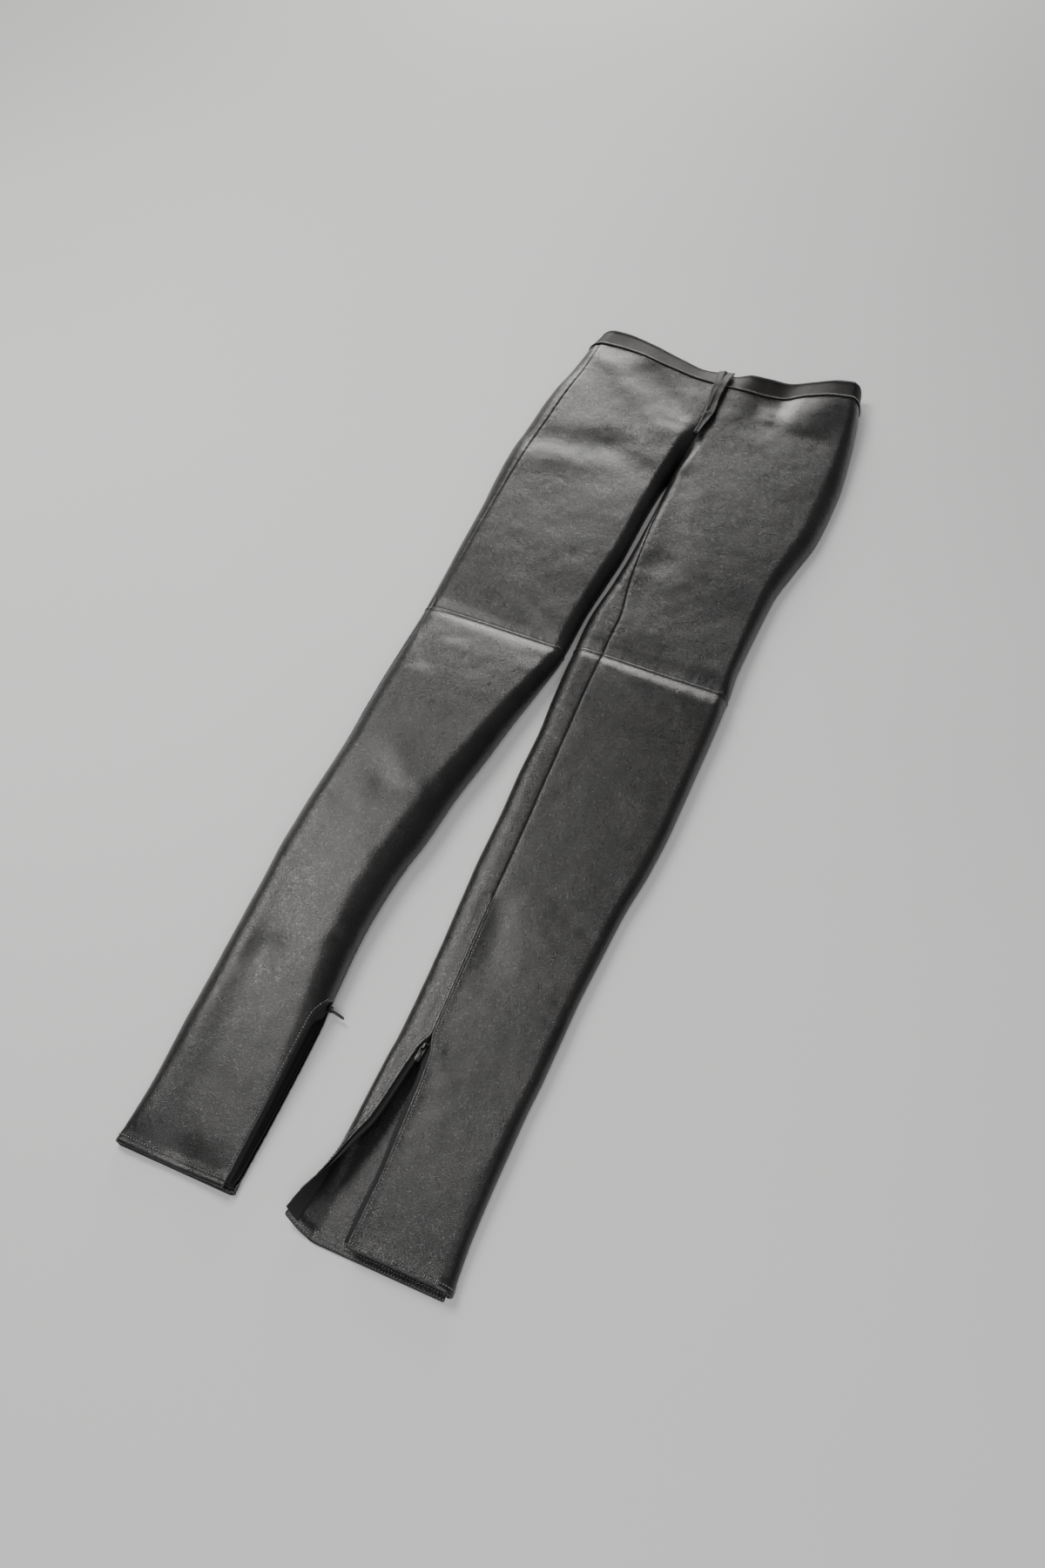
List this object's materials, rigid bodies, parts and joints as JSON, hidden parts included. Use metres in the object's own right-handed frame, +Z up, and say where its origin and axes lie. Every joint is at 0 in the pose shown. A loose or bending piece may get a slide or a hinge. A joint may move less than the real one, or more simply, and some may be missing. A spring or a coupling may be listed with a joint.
{
  "type": "leather trousers laid flat",
  "caption": "Slim leather trousers laid flat, front up: curved waistband, flap over the fly, seams across the knees and part-open zips at the ankles.",
  "frame": {"origin": "on the floor under the middle of the laid garment's box", "axes": "+Y from the hems to the waist, +X to the right seen from above, +Z up from the floor"},
  "size_m": [0.3508, 1.0931, 0.0369],
  "materials": {
    "leather": "semi-gloss, fine pebbled grain",
    "zip_tape": "matt herringbone tape",
    "zip_metal": "dark polished",
    "thread": "fine twisted thread"
  },
  "bodies": {
    "trousers": {"front_upper_left": "leather", "front_upper_right": "leather", "back_upper_left": "leather", "back_upper_right": "leather", "front_lower_left": "leather", "front_lower_right": "leather", "back_lower_left": "leather", "back_lower_right": "leather", "waistband_left": "leather", "waistband_right": "leather", "fly_flap": "leather", "fly_shield": "leather", "fly_zip": "zip_tape", "zip_tape_front_left": "zip_tape", "zip_tape_back_left": "zip_tape", "zip_tape_front_right": "zip_tape", "zip_tape_back_right": "zip_tape", "slider_left": "zip_metal", "slider_right": "zip_metal"},
    "pull_left": {"pull_left": "zip_metal"},
    "pull_right": {"pull_right": "zip_metal"}
  },
  "joints": [
    {"name": "tab_left", "type": "hinge", "parent": "trousers", "child": "pull_left", "pos_m": [-0.04185, -0.37443, 0.00883], "axis": [-0.2079, 0.0072, -0.9781], "range_deg": [-85, 55]},
    {"name": "tab_right", "type": "hinge", "parent": "trousers", "child": "pull_right", "pos_m": [0.04621, -0.37648, 0.01717], "axis": [-0.9977, 0.0682, 0], "range_deg": [0, 150]}
  ]
}
